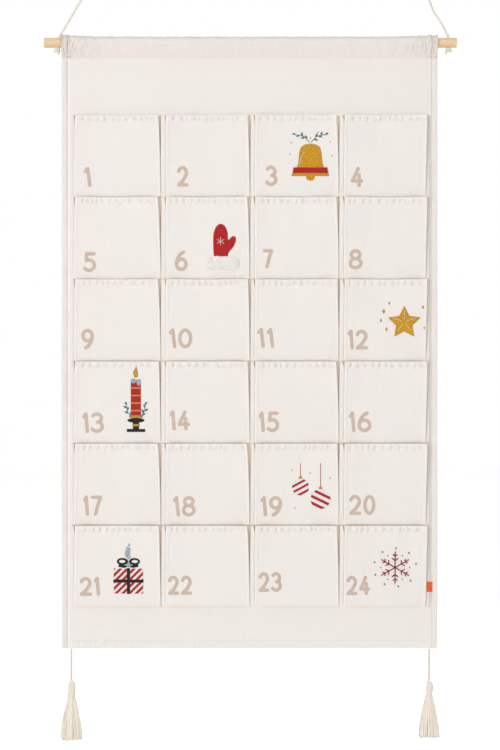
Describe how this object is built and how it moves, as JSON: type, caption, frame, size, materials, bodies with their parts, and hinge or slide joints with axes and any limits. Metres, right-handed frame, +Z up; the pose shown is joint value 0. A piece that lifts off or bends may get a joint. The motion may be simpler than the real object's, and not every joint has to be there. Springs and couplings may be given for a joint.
{
  "type": "advent calendar",
  "caption": "Canvas wall hanging with rows of numbered pleated pockets, a wooden rod in its top casing, a hanging cord and corner tassels.",
  "frame": {"origin": "the point between the two hanging loops where the cord is held up, on the middle plane of the cloth", "axes": "+Z up, +X to the right as seen from the front, -Y out of the front; the rod's axis is at z = -0.100 m"},
  "size_m": [0.602, 0.0293, 1.1213],
  "materials": {
    "canvas": "off-white plain-woven cotton canvas, unglazed",
    "rod_wood": "sanded pale softwood, unvarnished",
    "cord": "twisted cream cotton cord",
    "tassel_thread": "cream cotton thread, loosely twisted",
    "label_tape": "plain orange-red woven tape",
    "mustard_felt": "mustard wool felt",
    "red_felt": "deep red wool felt",
    "white_fleece": "white looped fleece"
  },
  "bodies": {
    "rod_and_cord": {"top_rod": "rod_wood", "hanging_cord_left": "cord", "hanging_cord_right": "cord", "hanging_loop_left": "cord", "hanging_loop_right": "cord", "loop_knot_left": "cord", "loop_knot_right": "cord", "stopper_knot_left": "cord", "stopper_knot_right": "cord"},
    "banner": {"backing_cloth": "canvas", "pocket_row_1": "canvas", "pocket_row_2": "canvas", "pocket_row_3": "canvas", "pocket_row_4": "canvas", "pocket_row_5": "canvas", "pocket_row_6": "canvas", "side_label": "label_tape", "felt_bell": "mustard_felt", "bell_band": "red_felt", "felt_mitten": "red_felt", "mitten_cuff": "white_fleece", "felt_star": "mustard_felt"},
    "left_tassel_cord": {"tassel_cord_left": "cord"},
    "left_tassel": {"tassel_threads_left": "tassel_thread", "tassel_binding_left": "tassel_thread"},
    "right_tassel_cord": {"tassel_cord_right": "cord"},
    "right_tassel": {"tassel_threads_right": "tassel_thread", "tassel_binding_right": "tassel_thread"}
  },
  "joints": [
    {"name": "banner_swing", "type": "hinge", "parent": "rod_and_cord", "child": "banner", "pos_m": [0, 0, -0.1], "axis": [1, 0, 0], "range_deg": [-90, 90]},
    {"name": "left_cord_sway", "type": "hinge", "parent": "banner", "child": "left_tassel_cord", "pos_m": [-0.26, 0.00045, -0.9854], "axis": [0, 1, 0], "range_deg": [-70, 70]},
    {"name": "left_tassel_swing", "type": "hinge", "parent": "left_tassel_cord", "child": "left_tassel", "pos_m": [-0.26, 0.00045, -1.0291], "axis": [1, 0, 0], "range_deg": [-70, 70]},
    {"name": "right_cord_sway", "type": "hinge", "parent": "banner", "child": "right_tassel_cord", "pos_m": [0.2621, 0.00045, -0.9854], "axis": [0, 1, 0], "range_deg": [-70, 70]},
    {"name": "right_tassel_swing", "type": "hinge", "parent": "right_tassel_cord", "child": "right_tassel", "pos_m": [0.2621, 0.00045, -1.0291], "axis": [1, 0, 0], "range_deg": [-70, 70]}
  ]
}
